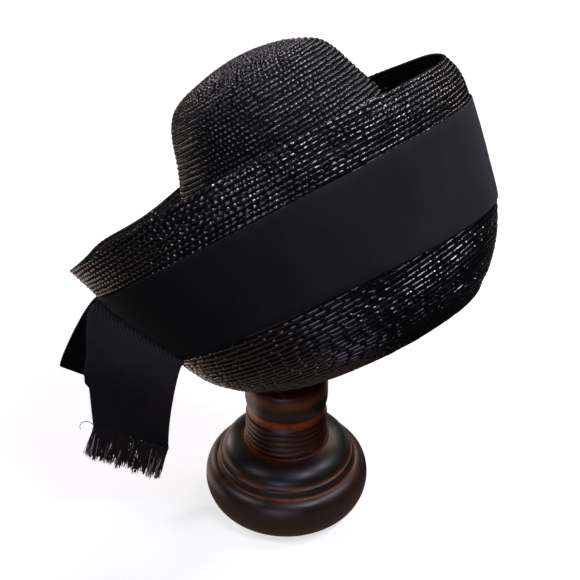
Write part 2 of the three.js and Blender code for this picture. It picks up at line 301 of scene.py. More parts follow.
# Camera of the view: place in metres, the tilt of its look down, its film and how far it sees, and its lens,
# worked out from its focal length and the picture's width in pixels
VIEW_FROM = (0.003, -0.78076, 0.72726)
VIEW_DOWN = 33.5
VIEW_FILM = 36
VIEW_REACH = 50
FOCAL_PIXELS = 1200
PICTURE_PIXELS = 580
VIEW_LENS = VIEW_FILM * FOCAL_PIXELS / PICTURE_PIXELS
# The floor is a lit white board, and its light in what the hat mirrors is dimmer
FLOOR_WIDTH = 12
FLOOR_GLOW = 0.75
FLOOR_MIRRORED = 0.012
# Brighter patches of the floor round the stand: place and width in metres, watts, colour
PATCHES = (
    ((-0.25, 0.16, 0.004), 0.44, 0.38, "#ffe6dd"),
    ((0.08, 0.46, 0.004), 0.7, 0.4, "#fff4f6"),
    ((-0.03, -0.14, 0.004), 0.4, 0.06, "#ffdfc8"),
)
# Soft lights round the hat's middle: name, degrees to the right of the view and up, metres away,
# width in metres, watts, colour
LIGHT_AIM = Vector((0, 0, 0.28))
LIGHTS = (
    ("window behind", 180, 52, 2.0, 0.5, 7.5, "#f2ecff"),
    ("window behind right", 150, 30, 2.0, 0.5, 4, "#fff2ea"),
    ("window left", -75, 48, 2.0, 0.3, 5.5, "#f4f3ff"),
    ("window right", 95, 50, 2.0, 0.3, 9, "#f3f1ff"),
    ("lamp right", 44, 58, 2.0, 0.6, 10, "#ebe8ff"),
    ("lamp in front", -10, 8, 2.0, 1.2, 5, "#d8d3ff"),
    ("glow behind left", -135, 5, 2.0, 0.5, 5, "#ffeadb"),
)


def linear(hex_colour):
    """An sRGB hex colour as the linear colour that shaders and lights take."""
    parts = [int(hex_colour[i : i + 2], 16) / 255 for i in (1, 3, 5)]
    return tuple(c / 12.92 if c <= 0.04045 else ((c + 0.055) / 1.055) ** 2.4 for c in parts)


def length_setting(name, description, default_mm):
    """A length that the user may change, kept in metres."""
    return bpy.props.FloatProperty(
        name=name, description=description, default=default_mm * MM, min=0.00005, unit="LENGTH", precision=5
    )


def colour_setting(name, description, hex_colour):
    return bpy.props.FloatVectorProperty(
        name=name, description=description, default=linear(hex_colour), min=0, max=1, subtype="COLOR"
    )


class StrawSettings(bpy.types.PropertyGroup):
    """The sewn straw braid of the crown and the brim."""

    crown_row: length_setting("Crown row", "Height of one sewn row on the crown", 3.8)
    rim_row: length_setting("Rim row", "Height of one sewn row at the top of the brim", 3.6)
    low_row: length_setting("Low row", "Height of one sewn row under the ribbon", 4.1)
    crown_plait: length_setting("Crown plait", "Length of one plait along a crown row", 3.9)
    brim_plait: length_setting("Brim plait", "Length of one plait along a brim row", 5.7)
    colour: colour_setting("Straw", "Lacquered black of the straw", "#0b0a0f")
    faded: colour_setting("Faded straw", "Browner straws among the black ones", "#1d1817")


class RibbonSettings(bpy.types.PropertyGroup):
    """The grosgrain ribbon of the band and the bow."""

    rib: length_setting("Rib", "Width of one grosgrain rib", 1.6)
    relief: length_setting("Rib relief", "Depth between two ribs", 0.3)
    thread: length_setting("Thread", "Thickness of one frayed thread", 0.4)
    threads: bpy.props.IntProperty(
        name="Threads", description="Frayed threads in one lock", default=58, min=4, max=80
    )
    colour: colour_setting("Ribbon", "Faded black of the ribbon", "#2d2d2e")
    lint: colour_setting("Lint", "Dust and lint on the ribbon", "#8a8890")
    pale: colour_setting("Pale thread", "Bare threads that the dye has left", "#f4f2ee")


class StandSettings(bpy.types.PropertyGroup):
    """The turned and stained wooden stand."""

    facets: bpy.props.IntProperty(
        name="Facets", description="Steps round each turned piece", default=128, min=24, max=256
    )
    edge: length_setting("Edge", "Rounding of the turned edges", 0.5)
    stain: colour_setting("Stain", "Near-black stain in the hollows", "#241e1b")
    rubbed: colour_setting("Rubbed wood", "Brown wood where the stain is rubbed through", "#c0600a")


class StageSettings(bpy.types.PropertyGroup):
    """Floor and light."""

    floor: colour_setting("Floor", "Plain pale floor", "#f5f5f4")
    daylight: bpy.props.FloatProperty(
        name="Daylight", description="Strength of the even light all round", default=0.015, min=0
    )


def through(a, b, c, d, t):
    """A smooth curve through four values, from the second to the third."""
    slope = (c - a) / 2
    following = (d - b) / 2
    bend = 3 * (c - b) - 2 * slope - following
    twist = 2 * (b - c) + slope + following
    return b + t * (slope + t * (bend + t * twist))


def row_at(rows, s):
    """The outline between table rows, where s counts the rows from the top."""
    last = len(rows) - 1
    i = np.clip(np.floor(s).astype(int), 0, last - 1)
    near = [rows[np.clip(i + k, 0, last)] for k in (-1, 0, 1, 2)]
    return through(*near, (s - i)[..., None])


def oval_point(row, angle):
    level, back, front, side = np.moveaxis(row, -1, 0)
    drop = FRONT_DROP * np.clip(level / HEAD_LINE, 0, 1) * np.cos(angle)
    x = (front - back) / 2 + (front + back) / 2 * np.cos(angle)
    return np.stack((x, side * np.sin(angle), level - drop), -1)


def apart(angle, degrees):
    """The angle from a direction given in degrees, the short way round."""
    return (angle - math.radians(degrees) + math.pi) % FULL_TURN - math.pi


def rim_rise(angle):
    rise = SIDE_RISE * np.sin(angle) ** 2
    for degrees, spread, height in RIM_WAVES:
        rise = rise + height * np.exp(-((apart(angle, degrees) / math.radians(spread)) ** 2))
    return rise


def brim_face(s, angle):
    """Outer face of the brim, in the hat's own frame."""
    row = row_at(BRIM_ROWS, s)
    level = row[..., 0]
    point = oval_point(row, angle)
    degrees, spread, dent_level, height, depth = DENT
    away = (apart(angle, degrees) / math.radians(spread)) ** 2 + ((level - dent_level) / height) ** 2
    dent = depth * np.exp(-away) / np.hypot(point[..., 0], point[..., 1])
    point[..., :2] *= (1 - dent)[..., None]
    point[..., 2] += rim_rise(angle) * np.maximum(0, 1 + level / RISE_DEPTH)
    return point


def crown_face(s, angle):
    return oval_point(row_at(CROWN_ROWS, s), angle)


def unit(vectors):
    return vectors / np.maximum(np.linalg.norm(vectors, axis=-1, keepdims=True), 1e-9)


def outward(face, last, s, angle):
    """Way out of a face whose rows run downwards."""
    step = 1e-3
    s = np.clip(s, 0.01, last - 0.01)
    down = face(s + step, angle) - face(s - step, angle)
    along = face(s, angle + step) - face(s, angle - step)
    return unit(np.cross(down, along))


def profile_length(face, last):
    """Row numbers down a face and the length of wall from its top to each."""
    s = np.linspace(0, last, PROFILE_POINTS)
    points = face(s[:, None], np.linspace(0, FULL_TURN, PROFILE_SIDES, endpoint=False)[None, :])
    steps = np.linalg.norm(np.diff(points, axis=0), axis=-1).mean(1)
    return s, np.concatenate(([0], np.cumsum(steps)))


def walked(path):
    """The way walked along a path of points, up to each of them."""
    return np.concatenate(([0], np.cumsum(np.linalg.norm(np.diff(path, axis=0), axis=1))))


def placed(points):
    """Points of the hat's own frame in the part's frame."""
    return points @ HAT_TURN.T + RIM_MIDDLE


def deselect():
    if bpy.context.object and bpy.context.object.mode != "OBJECT":
        bpy.ops.object.mode_set(mode="OBJECT")
    bpy.ops.object.select_all(action="DESELECT")


def take_up(piece):
    """Makes one piece the only selected and active one."""
    deselect()
    piece.select_set(True)
    bpy.context.view_layer.objects.active = piece


def linked(name, data):
    """A new object, linked to the scene and taken up."""
    piece = bpy.data.objects.new(name, data)
    bpy.context.scene.collection.objects.link(piece)
    take_up(piece)
    return piece


def joined(piece, other):
    """Joins another mesh into a piece."""
    take_up(piece)
    other.select_set(True)
    bpy.ops.object.join()
    return piece


def turn_outwards(piece, weld=True):
    """Turns the faces of a mesh outwards and smooths them, once the edges that meet are welded."""
    take_up(piece)
    bpy.ops.object.mode_set(mode="EDIT")
    bpy.ops.mesh.select_all(action="SELECT")
    if weld:
        bpy.ops.mesh.remove_doubles(threshold=SEAM * MM)
    bpy.ops.mesh.normals_make_consistent(inside=False)
    bpy.ops.object.mode_set(mode="OBJECT")
    bpy.ops.object.shade_smooth()


def laid_sheet(name, points, uv, material, fade_and_shading=None):
    """A grid whose vertex in row j and column k lies at points[j, k], welded where its edges meet.
    The optional fading gives how faded its dye is at each vertex, with painted shade and painted light in
    it."""
    rows, columns = points.shape[:2]
    deselect()
    bpy.ops.mesh.primitive_grid_add(x_subdivisions=columns - 1, y_subdivisions=rows - 1, size=2)
    piece = bpy.context.object
    piece.name = piece.data.name = name
    mesh = piece.data
    flat = np.empty(len(mesh.vertices) * 3, np.float32)
    mesh.vertices.foreach_get("co", flat)
    k = np.rint((flat[0::3] + 1) / 2 * (columns - 1)).astype(int)
    j = np.rint((flat[1::3] + 1) / 2 * (rows - 1)).astype(int)
    mesh.vertices.foreach_set("co", (points[j, k] * MM).astype(np.float32).ravel())
    corners = np.empty(len(mesh.loops), np.int32)
    mesh.loops.foreach_get("vertex_index", corners)
    mesh.uv_layers.active.data.foreach_set("uv", uv[j, k][corners].astype(np.float32).ravel())
    mesh.materials.append(material)
    if fade_and_shading is not None:
        fade_and_shading = np.broadcast_to(fade_and_shading, points.shape[:2])[j, k].astype(np.float32)
        mesh.attributes.new("fade_and_shading", "FLOAT", "POINT").data.foreach_set("value", fade_and_shading)
    mesh.update()
    turn_outwards(piece)
    return piece


def keep(piece, slot, *nodes):
    """Ties a finished piece to the part's body and hides the solids it stands for. The slot is not used."""
    triangles = sum(len(face.vertices) - 2 for face in piece.data.polygons)
    if triangles >= MOST_TRIANGLES:
        raise RuntimeError(f"{piece.name} has too many triangles: {triangles}")
    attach(piece, "root")
    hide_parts(*nodes)


def wire(node, inputs):
    """Sets a node's inputs, each given as a value, a socket, or a node whose first output is linked."""
    for name, value in inputs.items():
        if isinstance(value, bpy.types.Node):
            value = next(socket for socket in value.outputs if socket.enabled)
        if isinstance(value, bpy.types.NodeSocket):
            node.id_data.links.new(value, node.inputs[name])
        else:
            node.inputs[name].default_value = value


def add_node(tree, kind, inputs=None, **settings):
    """Adds a shader node with its settings and its inputs."""
    made = tree.nodes.new("ShaderNode" + kind)
    for name, value in settings.items():
        setattr(made, name, value)
    wire(made, inputs or {})
    return made


def new_material(name):
    material = bpy.data.materials.new(name)
    material.use_nodes = True
    tree = material.node_tree
    return material, tree, tree.nodes["Principled BSDF"]


def rgba(colour):
    return (*colour, 1.0)


def lacquered_straw(settings, name, mirroring, best, worst):
    """Stiff straw plait, dyed black and lacquered: one hard small glint on each plait, some straws browner.
    The lot attribute is each plait's own chance, and the map is in metres along and across a plait."""
    material, tree, shader = new_material(name)
    lot = add_node(tree, "Attribute", attribute_name="lot").outputs["Fac"]
    gloss = add_node(tree, "MapRange", {"Value": lot, "To Min": best, "To Max": worst})
    age = add_node(tree, "Math", {0: lot, 1: 3.0}, operation="POWER")
    tint = add_node(
        tree, "Mix", {"Factor": age, "A": rgba(settings.colour), "B": rgba(settings.faded)}, data_type="RGBA"
    )
    # Single straws side by side in the plait
    place = add_node(tree, "TexCoord").outputs["UV"]
    across = add_node(tree, "SeparateXYZ", {0: place}).outputs["Y"]
    turn = add_node(tree, "Math", {0: across, 1: FULL_TURN / (ONE_STRAW * MM)}, operation="MULTIPLY")
    straw = add_node(tree, "Math", {0: turn}, operation="COSINE")
    bump = add_node(tree, "Bump", {"Strength": 0.5, "Distance": 0.03 * MM, "Height": straw})
    wire(shader, {"Base Color": tint, "Roughness": gloss, "Normal": bump})
    wire(shader, {"Specular IOR Level": mirroring, "IOR": 1.7})
    return material


def straw_ground(settings):
    """The back of the sewn rows, seen between them: the same straw without its lacquer, with painted shade
    in the hollows of its rows and plaits. The map counts metres round the hat and down its wall."""
    material, tree, shader = new_material(GROUND)
    place = add_node(tree, "TexCoord").outputs["UV"]
    split = add_node(tree, "SeparateXYZ", {0: place})
    heights = []
    for axis, size in (("X", GROUND_PLAIT), ("Y", GROUND_ROW)):
        along = split.outputs[axis]
        turn = add_node(tree, "Math", {0: along, 1: math.pi / (size * MM)}, operation="MULTIPLY")
        wave = add_node(tree, "Math", {0: turn}, operation="SINE")
        heights.append(add_node(tree, "Math", {0: wave}, operation="ABSOLUTE"))
    height = add_node(tree, "Math", {0: heights[0], 1: heights[1]}, operation="MULTIPLY")
    bump = add_node(tree, "Bump", {"Strength": 0.8, "Distance": 0.6 * MM, "Height": height})
    # Painted shade: the low parts of the pattern, between rows and plaits, are painted darker
    dark = tuple(0.6 * c for c in settings.colour)
    tint = add_node(
        tree, "Mix", {"Factor": height, "A": rgba(dark), "B": rgba(settings.colour)}, data_type="RGBA"
    )
    wire(shader, {"Base Color": tint, "Normal": bump, "Roughness": 0.75})
    return material


def straw_material(context, name):
    """One of the straw materials, made once."""
    settings = context.scene.straw_settings
    found = bpy.data.materials.get(name)
    if name == GROUND:
        return found or straw_ground(settings)
    return found or lacquered_straw(settings, name, *LACQUER[name])


def grosgrain(settings, name, painted_rib_shades, broad, bias):
    """Ribbed rayon ribbon, dyed black and a little faded: matte, with a soft bloom and a few specks of lint.
    The map is in metres, along the ribbon and across it, and the fading attribute is how faded the dye is,
    with painted shade and painted light in it. The painted rib shades are the painted light of a rib and the
    painted shade of a hollow, broad is their width in ribs, and bias is how far they run along per metre
    across."""
    material, tree, shader = new_material(name)
    place = add_node(tree, "TexCoord").outputs["UV"]
    split = add_node(tree, "SeparateXYZ", {0: place})
    # Slow fading, and the grain of the threads
    fading = add_node(tree, "TexNoise", {"Vector": place, "Scale": 1 / (FADING * MM), "Detail": 2.0})
    grain = add_node(tree, "TexNoise", {"Vector": place, "Scale": 1 / (THREAD_GRAIN * MM), "Detail": 1.0})
    depth = add_node(tree, "Math", {0: fading, 1: grain}, operation="ADD")
    strength = add_node(
        tree,
        "MapRange",
        {"Value": depth, "From Min": 0.6, "From Max": 1.4, "To Min": 0.72, "To Max": 1.25},
    )
    # Painted shade in the hollows between the ribs, and painted light on the ribs
    lean = add_node(tree, "Math", {0: split.outputs["Y"], 1: -bias}, operation="MULTIPLY")
    along = add_node(tree, "Math", {0: split.outputs["X"], 1: lean}, operation="ADD")
    turn = add_node(tree, "Math", {0: along, 1: FULL_TURN / (broad * settings.rib)}, operation="MULTIPLY")
    hollow = add_node(tree, "Math", {0: turn}, operation="COSINE")
    painted_rib_shade = add_node(
        tree,
        "MapRange",
        {"Value": hollow, "From Min": -1.0, "From Max": 1.0, "To Min": painted_rib_shades[0], "To Max": painted_rib_shades[1]},
    )
    fade_and_shading = add_node(tree, "Attribute", attribute_name="fade_and_shading").outputs["Fac"]
    # How faded the dye is, with painted shade and painted light in it
    faded = add_node(tree, "Math", {0: strength, 1: fade_and_shading}, operation="MULTIPLY")
    shade = add_node(tree, "Math", {0: faded, 1: painted_rib_shade}, operation="MULTIPLY")
    dye = add_node(tree, "HueSaturation", {"Value": shade, "Color": rgba(settings.colour)})
    # Small specks of lint
    specks = add_node(tree, "TexVoronoi", {"Vector": place, "Scale": 1 / (LINT_APART * MM)})
    near = add_node(tree, "Math", {0: specks.outputs["Distance"], 1: 0.018}, operation="LESS_THAN")
    cloth = add_node(tree, "Mix", {"Factor": near, "A": dye, "B": rgba(settings.lint)}, data_type="RGBA")
    # Warp threads crossing the ribs
    warp = add_node(tree, "Math", {0: split.outputs["Y"], 1: FULL_TURN / (WARP * MM)}, operation="MULTIPLY")
    ripple = add_node(tree, "Math", {0: warp}, operation="SINE")
    woven = add_node(tree, "Math", {0: ripple, 1: 0.5}, operation="MULTIPLY")
    height = add_node(tree, "Math", {0: woven, 1: grain}, operation="ADD")
    bump = add_node(tree, "Bump", {"Strength": 0.35, "Distance": 0.15 * MM, "Height": height})
    wire(shader, {"Base Color": cloth, "Normal": bump, "Roughness": 0.82, "Specular IOR Level": 0.08})
    wire(shader, {"Sheen Weight": 0.16, "Sheen Roughness": 0.4})
    return material


def ribbon_material(context, name):
    """One of the ribbon's materials, made once."""
    found = bpy.data.materials.get(name)
    return found or grosgrain(context.scene.ribbon_settings, name, *GROSGRAIN[name])


def bare_thread(name, colour):
    """Loose rayon thread: smoother than the cloth, so it catches thin lights."""
    material, tree, shader = new_material(name)
    place = add_node(tree, "TexCoord").outputs["Object"]
    twist = add_node(tree, "TexNoise", {"Vector": place, "Scale": 1 / (THREAD_TWIST * MM)})
    shade = add_node(tree, "MapRange", {"Value": twist, "To Min": 0.6, "To Max": 1.4})
    dye = add_node(tree, "HueSaturation", {"Value": shade, "Color": rgba(colour)})
    wire(shader, {"Base Color": dye, "Roughness": 0.5})
    return material


def stained_wood(settings):
    """Turned hardwood under a near-black stain and wax: satin, brown where hands and edges have rubbed it.
    The worn attribute is 1 where the stain is thinnest; on the foot's bottom band it also carries a painted
    reflection of the floor."""
    material, tree, shader = new_material("stained hardwood")
    place = add_node(tree, "TexCoord").outputs["Object"]
    # Grain lines, drawn out along the turned axis
    stretch = add_node(tree, "Mapping", {"Vector": place, "Scale": (1.0, 1.0, 0.06)})
    grain = add_node(tree, "TexNoise", {"Vector": stretch, "Scale": 1 / (WOOD_GRAIN * MM), "Detail": 4.0})
    blotch = add_node(tree, "TexNoise", {"Vector": place, "Scale": 1 / (WOOD_BLOTCH * MM), "Detail": 3.0})
    worn = add_node(tree, "Attribute", attribute_name="worn").outputs["Fac"]
    # Blotches and grain leave the wear uneven, and blotches the polish
    uneven, streak, polish = (
        add_node(
            tree,
            "MapRange",
            {"Value": pattern, "From Min": 0.3, "From Max": 0.7, "To Min": least, "To Max": most},
        )
        for pattern, least, most in ((blotch, 0.35, 1.25), (grain, 0.75, 1.15), (blotch, 0.32, 0.46))
    )
    rubbed = add_node(tree, "Math", {0: worn, 1: uneven}, operation="MULTIPLY")
    share = add_node(tree, "Math", {0: rubbed, 1: streak}, operation="MULTIPLY", use_clamp=True)
    bare, stain = rgba(settings.rubbed), rgba(settings.stain)
    tint = add_node(tree, "Mix", {"Factor": share, "A": stain, "B": bare}, data_type="RGBA")
    bump = add_node(tree, "Bump", {"Strength": 0.12, "Distance": 0.2 * MM, "Height": grain})
    wire(shader, {"Base Color": tint, "Roughness": polish, "Normal": bump, "Specular IOR Level": 0.75})
    return material


def plait_model(sides, rings, bluntness=PLAIT_BLUNT):
    """One plait to copy: a grain that lies along X, with half sizes of 1."""
    deselect()
    bpy.ops.mesh.primitive_uv_sphere_add(segments=sides, ring_count=rings, rotation=(0, -math.pi / 2, 0))
    bpy.ops.object.transform_apply(location=False, rotation=True, scale=False)
    mesh = bpy.context.object.data
    points = np.array([vertex.co for vertex in mesh.vertices])
    # Blunt ends, so that the light on it is a dash along the row
    reach = np.linalg.norm(points[:, 1:], axis=1, keepdims=True)
    blunt = np.sqrt(1 - np.minimum(np.abs(points[:, :1]), 1) ** bluntness)
    points[:, 1:] *= blunt / np.maximum(reach, 1e-6)
    # A corner of its section comes on top
    side = points[np.abs(points[:, 0]) < 0.9][0]
    turn = math.atan2(side[1], side[2])
    points = points @ np.array(Matrix.Rotation(turn, 3, "X")).T
    faces = [tuple(face.vertices) for face in mesh.polygons]
    bpy.ops.object.delete()
    bpy.data.meshes.remove(mesh)
    return points, faces


def turned(first, second, angle):
    """Two directions at right angles, turned by an angle from the first towards the second."""
    return first * np.cos(angle) + second * np.sin(angle), second * np.cos(angle) - first * np.sin(angle)


def sewn_plaits(face, last, span, pitch, plait, side, model, chance, uneven=1.0, tilt=0.0):
    """Plaits in sewn rows over a span of wall, in lengths from its top, on its outer (1) or inner (-1) side.
    Their crests touch the wall's true face. Uneven is how far they follow PLAIT_UNEVEN,
    and tilt the degrees that each row leans, as rows do that lap over the next.
    Gives vertices, faces, maps in millimetres and lots."""
    s_table, length_table = profile_length(face, last)
    count = max(1, round((span[1] - span[0]) / pitch))
    pitch = (span[1] - span[0]) / count
    high = PLAIT_HEIGHT * pitch
    ring = np.linspace(0, FULL_TURN, RING_STEPS + 1)
    grain, grain_faces = model
    points, maps, lots = [], [], []
    for row in range(count):
        down = span[0] + (row + 0.5) * pitch
        s = np.interp(down, length_table, s_table)
        way = walked(face(np.full_like(ring, s), ring))
        number = max(FEWEST_PLAITS, round(way[-1] / plait))
        places = (np.arange(number) + chance.uniform()) % number + chance.normal(0, PLAIT_SHIFT, number)
        angle = np.interp(places / number * way[-1], way, ring, period=way[-1])
        # The row wanders a little
        drift = ROW_DRIFT * np.sin(chance.integers(*ROW_WAVES) * angle + chance.uniform(0, FULL_TURN))
        here = np.interp(down + drift, length_table, s_table)
        out = outward(face, last, here, angle)
        up = out * side
        along = unit(face(here, angle + 1e-3) - face(here, angle - 1e-3))
        across = np.cross(up, along)
        lie = uneven * np.radians(PLAIT_UNEVEN)[:, None, None]
        roll, dip, slew = chance.normal(0, 1, (3, number, 1)) * lie
        along, across = turned(along, across, slew + uneven * math.radians(PLAIT_SLANT))
        along, up = turned(along, up, dip)
        across, up = turned(across, up, roll + math.radians(tilt))
        half = np.array((PLAIT_LAP * way[-1] / number, ROW_LAP * pitch, high)) / 2
        size = half * chance.uniform(*PLAIT_SIZES, (number, 1))
        depth = size[:, 2:] if side > 0 else STRAW - size[:, 2:]
        centre = face(here, angle) - out * depth
        local = grain[None] * size[:, None]
        reach = (local[..., k : k + 1] * axis[:, None] for k, axis in enumerate((along, across, up)))
        points.append(sum(reach, start=centre[:, None]).reshape(-1, 3))
        shift = np.column_stack((places * plait, np.zeros(number)))
        maps.append((local[..., :2] + shift[:, None]).reshape(-1, 2))
        lots.append(np.repeat(chance.uniform(0, 1, number), len(grain)))
    points, maps, lots = np.concatenate(points), np.concatenate(maps), np.concatenate(lots)
    starts = np.arange(0, len(points), len(grain))
    faces = [tuple(start + i for i in corners) for start in starts.tolist() for corners in grain_faces]
    return points, faces, maps, lots


def plait_mesh(name, plaits, material):
    """One mesh of sewn plaits, in the part's frame."""
    points, faces, maps, lots = plaits
    mesh = bpy.data.meshes.new(name)
    mesh.from_pydata((placed(points) * MM).tolist(), [], faces)
    corners = np.empty(len(mesh.loops), np.int32)
    mesh.loops.foreach_get("vertex_index", corners)
    mesh.uv_layers.new(name="UVMap").data.foreach_set("uv", (maps[corners] * MM).astype(np.float32).ravel())
    mesh.attributes.new("lot", "FLOAT", "POINT").data.foreach_set("value", lots.astype(np.float32))
    mesh.materials.append(material)
    piece = linked(name, mesh)
    turn_outwards(piece, weld=False)
    return piece


def straw_wall(name, face, last, sunk, material, closed_top):
    """The wall that the plaits are sewn into, a little thinner than the hat's wall on its faces with plaits.
    Sunk gives how far the outer and the inner face lie below the true ones."""
    s_table, length_table = profile_length(face, last)
    down = np.linspace(0, length_table[-1], WALL_POINTS)
    length = np.concatenate((down, down[::-1]))
    deep = np.repeat((sunk[0], STRAW - sunk[1]), WALL_POINTS)
    if not closed_top:
        length, deep = np.append(length, length[0]), np.append(deep, deep[0])
    s = np.interp(length, length_table, s_table)
    angle = np.linspace(0, FULL_TURN, WALL_SIDES + 1)
    angle[-1] = 0.0
    points = face(s[:, None], angle[None, :])
    points = points - outward(face, last, s[:, None], angle[None, :]) * deep[:, None, None]
    if closed_top:
        for end in (0, -1):
            points[end] = points[end].mean(0)
    girth = np.linalg.norm(np.diff(points, axis=1), axis=-1).sum(1)
    share = np.linspace(0, 1, WALL_SIDES + 1)[None, :]
    uv = np.stack(np.broadcast_arrays(girth[:, None] * share, length[:, None]), -1) * MM
    return laid_sheet(name, placed(points), uv, material)


class STRAW_HAT_OT_crown(bpy.types.Operator):
    """Builds the bell crown of sewn braid rows, hollow, from its top to the head line"""

    bl_idname = "straw_hat.crown"
    bl_label = "Crown"

    def execute(self, context):
        settings = context.scene.straw_settings
        last = len(CROWN_ROWS) - 1
        total = profile_length(crown_face, last)[1][-1]
        row, plait = settings.crown_row / MM, settings.crown_plait / MM
        ground = straw_material(context, GROUND)
        lacquer = straw_material(context, "lacquered straw braid")
        piece = straw_wall("crown_braid", crown_face, last, (PLAIT_HEIGHT * row / 2, 0), ground, True)
        chance = np.random.default_rng(CROWN_SEED)
        rounder = ROUNDER_SHARE * total
        grain = plait_model(*CROWN_GRAIN)
        plaits = sewn_plaits(crown_face, last, (0, rounder), row, plait, 1, grain, chance)
        keep(joined(piece, plait_mesh("crown_plaits", plaits, lacquer)), "straw", "crown")
        grain = plait_model(*LOW_CROWN_GRAIN)
        plaits = sewn_plaits(crown_face, last, (rounder, total), row, plait, 1, grain, chance)
        keep(plait_mesh("crown_lower_braid", plaits, lacquer), "straw", "crown")
        return {"FINISHED"}


class STRAW_HAT_OT_brim(bpy.types.Operator):
    """Builds the deep brim of sewn braid rows, turned up all round, from the rim to the head line"""

    bl_idname = "straw_hat.brim"
    bl_label = "Brim"

    def execute(self, context):
        settings = context.scene.straw_settings
        last = len(BRIM_ROWS) - 1
        s_table, lengths = profile_length(brim_face, last)
        levels = row_at(BRIM_ROWS, s_table)[:, 0]
        total = lengths[-1]
        band_from, band_to = np.interp(HIDDEN_ROWS, -levels, lengths)
        rim_row, low_row, plait = settings.rim_row / MM, settings.low_row / MM, settings.brim_plait / MM
        ground = straw_material(context, GROUND)
        lacquer, worn, inner = (straw_material(context, name) for name in LACQUER)
        sunk = (PLAIT_HEIGHT * rim_row / 2, INNER_SUNK)
        piece = straw_wall("brim_braid", brim_face, last, sunk, ground, False)
        chance = np.random.default_rng(BRIM_SEED)
        grain = plait_model(*BRIM_GRAIN)
        plaits = sewn_plaits(brim_face, last, (0, band_from), rim_row, plait, 1, grain, chance)
        keep(joined(piece, plait_mesh("brim_plaits", plaits, lacquer)), "straw", "brim")
        low = (band_to, total)
        grain = plait_model(*BRIM_GRAIN, LOW_BLUNT)
        long = LOW_PLAIT * plait
        plaits = sewn_plaits(brim_face, last, low, low_row, long, 1, grain, chance, LOW_UNEVEN, LOW_TILT)
        keep(plait_mesh("brim_lower_braid", plaits, worn), "straw", "brim")
        grain = plait_model(*INNER_GRAIN)
        plaits = sewn_plaits(brim_face, last, (0, total), rim_row, plait, -1, grain, chance)
        keep(plait_mesh("brim_inner_braid", plaits, inner), "straw", "brim")
        return {"FINISHED"}


def band_face(v, angle, lift):
    """Where the band lies: v runs from its top edge to its low edge, lift stands off the brim."""
    slant = np.cos(angle)
    top = BAND_TOP - BAND_SLANT * slant
    low = BAND_LOW - BAND_SLANT * slant + BAND_SIDE_RISE * (1 - slant**2)
    last = len(BRIM_ROWS) - 1
    s_table = np.linspace(0, last, LEVEL_POINTS)
    levels = row_at(BRIM_ROWS, s_table)[:, 0]
    s = np.interp(-(top + (low - top) * v), -levels, s_table)
    normal = outward(brim_face, last, s, angle)
    return brim_face(s, angle) + normal * np.asarray(lift)[..., None]


class STRAW_HAT_OT_band(bpy.types.Operator):
    """Builds the ribbed ribbon that is stretched round the outside of the brim"""

    bl_idname = "straw_hat.band"
    bl_label = "Ribbon band"

    def execute(self, context):
        settings = context.scene.ribbon_settings
        ring = np.linspace(0, FULL_TURN, RING_STEPS + 1)
        middle = band_face(np.full_like(ring, 0.5), ring, np.full_like(ring, GAP))
        girth = np.linalg.norm(np.diff(middle, axis=0), axis=1).sum()
        columns = 2 * round(girth / (settings.rib / MM))
        angle = np.linspace(0, FULL_TURN, columns + 1)
        angle[-1] = 0.0
        outer = np.concatenate(([1.0], np.linspace(1 - BAND_ROUND, BAND_ROUND, BAND_OUTER), [0.0]))
        inner = np.linspace(0.0, 1.0, BAND_INNER)
        v = np.concatenate((outer, inner, outer[:1]))
        outside = np.concatenate((np.ones(len(outer), bool), np.zeros(len(inner), bool), [True]))
        lift = np.where(outside, GAP + RIBBON, GAP)
        lift[[0, len(outer) - 1, -1]] -= BAND_EDGE
        rib = np.where(np.arange(columns + 1) % 2, 0.0, -settings.relief / MM)
        rise = lift[:, None] + outside[:, None] * rib[None, :]
        grid_v, grid_angle = np.broadcast_arrays(v[:, None], angle[None, :])
        points = band_face(grid_v, grid_angle, rise)
        width = np.linalg.norm(np.diff(points[: len(outer)], axis=0), axis=-1).sum(0).mean()
        along = np.arange(columns + 1) / 2 * settings.rib
        uv = np.stack(np.broadcast_arrays(along[None, :], v[:, None] * width * MM), -1)
        # Painted shade by the bow and painted light in front, together with the dye's fading
        fade_and_shading = np.interp(np.degrees(angle) % 360, *np.transpose(BAND_FADE_AND_SHADING), period=360)
        taut = ribbon_material(context, "rayon grosgrain")
        piece = laid_sheet("ribbon_band", placed(points), uv, taut, fade_and_shading[None, :])
        keep(piece, "ribbon", "band")
        return {"FINISHED"}


def blend_pair(pair, u):
    return pair[0] + (pair[1] - pair[0]) * u


def falling_ribbon(root, out, fall, u, end):
    """Control points, for each place across, of a ribbon that leaves the band and falls to its end."""
    angle = np.radians(blend_pair(root, u))
    lift = np.full_like(u, GAP + RIBBON + GAP)
    start = placed(band_face(u, angle, lift))
    away = placed(band_face(u, angle, lift + 1)) - start
    leaving = start + away * blend_pair(out, u)[:, None]
    above = end + np.outer(blend_pair(fall, u), (0, 0, 1))
    return start, leaving, above, end


def bezier(control, t):
    a, b, c, d = (points[:, None, :] for points in control)
    t = np.asarray(t)[None, :, None]
    return (1 - t) ** 3 * a + 3 * (1 - t) ** 2 * t * b + 3 * (1 - t) * t**2 * c + t**3 * d


def even_steps(path, step):
    """Places along a path that lie evenly apart, counted in its points, and the path's length."""
    lengths = walked(path)
    count = max(2, round(lengths[-1] / step))
    return np.interp(np.linspace(0, lengths[-1], count + 1), lengths, np.arange(len(path))), lengths[-1]


